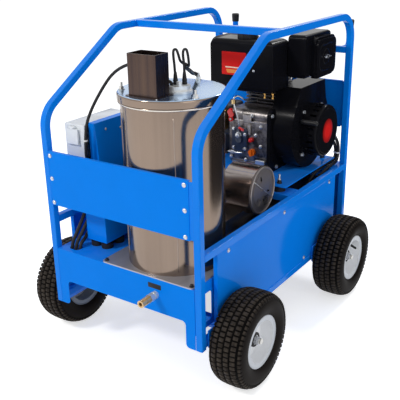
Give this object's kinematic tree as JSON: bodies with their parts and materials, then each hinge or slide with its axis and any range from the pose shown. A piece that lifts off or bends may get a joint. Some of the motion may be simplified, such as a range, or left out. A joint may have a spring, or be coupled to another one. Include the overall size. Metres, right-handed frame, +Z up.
{
  "type": "pressure washer",
  "caption": "Hot-water pressure washer with a diesel engine, upright boiler, burner and pump on a bent-tube frame with four pneumatic wheels.",
  "frame": {"origin": "on the floor, at the middle of the overall length and width", "axes": "+X towards the starter side, +Y towards the engine end, +Z up"},
  "size_m": [0.909, 1.2525, 1.12],
  "materials": {
    "blue_paint": "gloss",
    "stainless": "satin",
    "zinc": "satin",
    "tyre_rubber": "matt",
    "white_paint": "gloss",
    "black_rubber": "matt",
    "black_plastic": "satin",
    "black_paint": "gloss",
    "alloy": "as cast",
    "cast_iron": "as cast",
    "brass": "satin",
    "red_plastic": "gloss",
    "orange_plastic": "gloss",
    "grey_plastic": "satin",
    "navy_paint": "satin"
  },
  "bodies": {
    "frame": {"hoop_left": "blue_paint", "hoop_right": "blue_paint", "cross_tubes": "blue_paint", "base_rails": "blue_paint", "front_deck": "blue_paint", "rear_apron": "blue_paint", "end_panel": "blue_paint", "rear_panel": "blue_paint", "side_panel_left": "blue_paint", "side_panel_right": "blue_paint", "engine_deck": "blue_paint", "control_cabinet": "blue_paint", "panel_screws": "zinc", "axles": "zinc", "axle_nuts": "zinc", "boiler_nuts": "zinc", "rubber_mounts": "black_rubber", "hook_caps": "black_rubber", "ignition_leads": "black_rubber", "hoses": "black_rubber", "boiler_base": "stainless", "boiler_shell": "stainless", "heating_coil": "stainless", "boiler_lid": "stainless", "flue": "stainless", "blower_housing": "stainless", "blower_cover": "stainless", "muffler": "stainless", "burner_head": "alloy", "crankcase": "alloy", "cylinder_head": "alloy", "blower_motor": "black_paint", "fan_shroud": "black_paint", "engine_tank": "black_paint", "pump": "black_paint", "starter_housing": "black_plastic", "air_cleaner": "black_plastic", "fuel_tank": "black_plastic", "injection_pump": "navy_paint", "pump_head": "brass", "outlet_fitting": "brass", "switch_box": "grey_plastic"},
    "wheel_fl": {"tyre_fl": "tyre_rubber", "rim_fl": "white_paint"},
    "wheel_fr": {"tyre_fr": "tyre_rubber", "rim_fr": "white_paint"},
    "wheel_rl": {"tyre_rl": "tyre_rubber", "rim_rl": "white_paint"},
    "wheel_rr": {"tyre_rr": "tyre_rubber", "rim_rr": "white_paint"},
    "crank": {"flywheel": "cast_iron"},
    "grip": {"starter_grip": "black_plastic"},
    "fuel_cap": {"tank_cap": "black_plastic"},
    "oil_filler_cap": {"oil_cap": "orange_plastic"},
    "throttle": {"speed_lever": "red_plastic"},
    "cleaner_nut": {"wing_nut": "zinc"},
    "shutter": {"air_shutter": "stainless"},
    "fan": {"blower_fan": "alloy"},
    "pressure_knob": {"unloader_knob": "black_plastic"},
    "flap": {"socket_flap": "grey_plastic"}
  },
  "joints": [
    {"name": "wheel_fl_spin", "type": "hinge", "parent": "frame", "child": "wheel_fl", "pos_m": [-0.391, -0.38025, 0.165], "axis": [1, 0, 0], "continuous": true},
    {"name": "wheel_fr_spin", "type": "hinge", "parent": "frame", "child": "wheel_fr", "pos_m": [0.391, -0.38025, 0.165], "axis": [1, 0, 0], "continuous": true},
    {"name": "wheel_rl_spin", "type": "hinge", "parent": "frame", "child": "wheel_rl", "pos_m": [-0.391, 0.36575, 0.165], "axis": [1, 0, 0], "continuous": true},
    {"name": "wheel_rr_spin", "type": "hinge", "parent": "frame", "child": "wheel_rr", "pos_m": [0.391, 0.36575, 0.165], "axis": [1, 0, 0], "continuous": true},
    {"name": "crank_spin", "type": "hinge", "parent": "frame", "child": "crank", "pos_m": [0.137, 0.36675, 0.68], "axis": [1, 0, 0], "continuous": true},
    {"name": "starter_pull", "type": "slide", "parent": "frame", "child": "grip", "axis": [0.6001, -0.7001, 0.387], "range_m": [0, 0.6], "stiffness_N_per_m": 20},
    {"name": "fuel_cap_turn", "type": "hinge", "parent": "frame", "child": "fuel_cap", "pos_m": [0.0385, 0.19705, 1.046], "axis": [0, 0, 1], "range_deg": [0, 90]},
    {"name": "oil_cap_turn", "type": "hinge", "parent": "frame", "child": "oil_filler_cap", "pos_m": [0.051, 0.21775, 0.592], "axis": [0, -1, 0], "range_deg": [0, 180]},
    {"name": "throttle_turn", "type": "hinge", "parent": "frame", "child": "throttle", "pos_m": [-0.046, 0.21475, 0.718], "axis": [0, -1, 0], "range_deg": [-25, 25]},
    {"name": "cleaner_nut_turn", "type": "hinge", "parent": "frame", "child": "cleaner_nut", "pos_m": [0.29, 0.36375, 0.971], "axis": [1, 0, 0], "continuous": true},
    {"name": "shutter_turn", "type": "hinge", "parent": "frame", "child": "shutter", "pos_m": [0.245, -0.04425, 0.549], "axis": [1, 0, 0], "range_deg": [0, 40]},
    {"name": "fan_spin", "type": "hinge", "parent": "frame", "child": "fan", "pos_m": [0.18, -0.04425, 0.549], "axis": [1, 0, 0], "continuous": true},
    {"name": "pressure_knob_turn", "type": "hinge", "parent": "frame", "child": "pressure_knob", "pos_m": [-0.183, 0.28175, 0.79], "axis": [0, 0, 1], "range_deg": [0, 270]},
    {"name": "flap_turn", "type": "hinge", "parent": "frame", "child": "flap", "pos_m": [-0.224, -0.49675, 0.8243], "axis": [-1, 0, 0], "range_deg": [0, 110], "stiffness_Nm_per_rad": 0.02}
  ]
}
